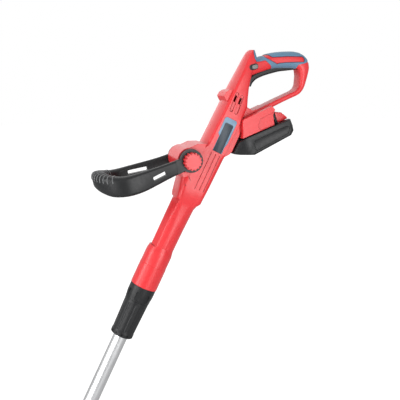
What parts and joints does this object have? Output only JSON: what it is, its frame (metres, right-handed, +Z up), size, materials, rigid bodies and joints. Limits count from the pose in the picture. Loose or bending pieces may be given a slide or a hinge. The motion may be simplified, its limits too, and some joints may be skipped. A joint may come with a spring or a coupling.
{
  "type": "string trimmer",
  "caption": "Cordless string trimmer: leaning telescopic shaft, D-handle with battery dock, swivelling loop handle, tilting motor head with guard and spool.",
  "frame": {"origin": "centre of the bump cap's flat foot, where the head stands on the ground", "axes": "+Z up along the spool's axis, -X the way the tool works, -Y its left side; the shaft leans back towards +X"},
  "size_m": [0.7168, 0.2856, 1.0675],
  "materials": {
    "red_plastic": "satin, lightly textured",
    "blue_soft": "soft matt",
    "dark_plastic": "satin",
    "plate_grey": "satin",
    "frame_blue": "satin",
    "steel": "zinc plated",
    "tube_aluminium": "drawn and anodised",
    "natural_nylon": "plain",
    "brass": "turned",
    "board_green": "solder mask",
    "grey_button": "satin",
    "copper": "wound copper",
    "can_steel": "drawn",
    "orange_nylon": "plain",
    "line_yellow": "clear-coated line",
    "cell_wrap": "shrink wrap",
    "cable_black": "matt"
  },
  "bodies": {
    "handle": {"left_housing": "red_plastic", "right_housing": "red_plastic", "grip_skin_left": "blue_soft", "grip_skin_right": "blue_soft", "badge_frame": "frame_blue", "badge_plate": "plate_grey", "housing_screws": "steel", "collar_base": "dark_plastic", "split_collet": "natural_nylon", "dock_terminals": "dark_plastic", "control_board": "board_green", "trigger_switch": "dark_plastic", "trigger_pin": "steel", "clamp_bolt": "steel"},
    "twist_lock": {"twist_sleeve": "dark_plastic"},
    "trigger": {"trigger": "dark_plastic"},
    "lock_off": {"lock_off_button": "grey_button"},
    "loop": {"loop_handle": "dark_plastic", "loop_grip": "dark_plastic"},
    "knob": {"clamp_knob": "red_plastic", "knob_insert": "brass"},
    "tube": {"telescopic_tube": "tube_aluminium", "tube_plug": "dark_plastic", "power_cable": "cable_black", "head_yoke": "dark_plastic", "yoke_screws": "steel"},
    "head": {"tilt_pin": "steel", "motor_cover_left": "red_plastic", "motor_cover_right": "red_plastic", "motor_can": "can_steel", "guard": "dark_plastic", "guard_screws": "steel", "line_cutter": "steel"},
    "tilt_lock": {"tilt_lock_button": "red_plastic"},
    "plant_guard": {"plant_guard": "steel"},
    "spool": {"motor_rotor": "copper", "spool_housing": "dark_plastic", "line_eyelets": "steel", "feed_spring": "steel"},
    "bump_feed": {"line_spool": "orange_nylon", "line_winding": "line_yellow", "bump_cap": "red_plastic"},
    "battery": {"battery_case": "dark_plastic", "battery_tower": "dark_plastic", "battery_cells": "cell_wrap", "cell_connectors": "steel"},
    "battery_latch": {"battery_latch_button": "red_plastic"}
  },
  "joints": [
    {"name": "twist_lock_turn", "type": "hinge", "parent": "handle", "child": "twist_lock", "pos_m": [0.21127, 0, 0.56446], "axis": [0.4384, 0, 0.8988], "range_deg": [0, 90]},
    {"name": "trigger_squeeze", "type": "hinge", "parent": "handle", "child": "trigger", "pos_m": [0.54828, 0, 1.03872], "axis": [0, 1, 0], "range_deg": [0, 5], "stiffness_Nm_per_rad": 1.2, "springref_deg": -8.59},
    {"name": "lock_off_push", "type": "slide", "parent": "handle", "child": "lock_off", "axis": [0, 1, 0], "range_m": [0, 0.004], "stiffness_N_per_m": 400, "springref_m": -0.002},
    {"name": "loop_swivel", "type": "hinge", "parent": "handle", "child": "loop", "pos_m": [0.32213, 0, 0.86475], "axis": [0, 1, 0], "range_deg": [-40, 80]},
    {"name": "knob_turn", "type": "hinge", "parent": "handle", "child": "knob", "pos_m": [0.32213, 0, 0.86475], "axis": [0, -1, 0], "range_deg": [-720, 0]},
    {"name": "tube_slide", "type": "slide", "parent": "handle", "child": "tube", "axis": [0.4384, 0, 0.8988], "range_m": [0, 0.18]},
    {"name": "head_tilt", "type": "hinge", "parent": "tube", "child": "head", "pos_m": [0.014, 0, 0.16], "axis": [0, 1, 0], "range_deg": [-30, 45]},
    {"name": "tilt_lock_press", "type": "slide", "parent": "head", "child": "tilt_lock", "axis": [0, 1, 0], "range_m": [0, 0.003], "stiffness_N_per_m": 500, "springref_m": -0.002},
    {"name": "plant_guard_fold", "type": "hinge", "parent": "head", "child": "plant_guard", "pos_m": [-0.008, 0, 0.07], "axis": [0, 1, 0], "range_deg": [0, 90]},
    {"name": "spool_spin", "type": "hinge", "parent": "head", "child": "spool", "pos_m": [0, 0, 0.027], "axis": [0, 0, 1], "continuous": true},
    {"name": "bump_press", "type": "slide", "parent": "spool", "child": "bump_feed", "axis": [0, 0, 1], "range_m": [0, 0.004], "stiffness_N_per_m": 900, "springref_m": -0.003, "deforming": ["feed_spring"]},
    {"name": "battery_slide", "type": "slide", "parent": "handle", "child": "battery", "axis": [0.9323, 0, 0.3616], "range_m": [0, 0.09]},
    {"name": "latch_press", "type": "slide", "parent": "battery", "child": "battery_latch", "axis": [0.3616, 0, -0.9323], "range_m": [0, 0.003], "stiffness_N_per_m": 500, "springref_m": -0.002}
  ]
}
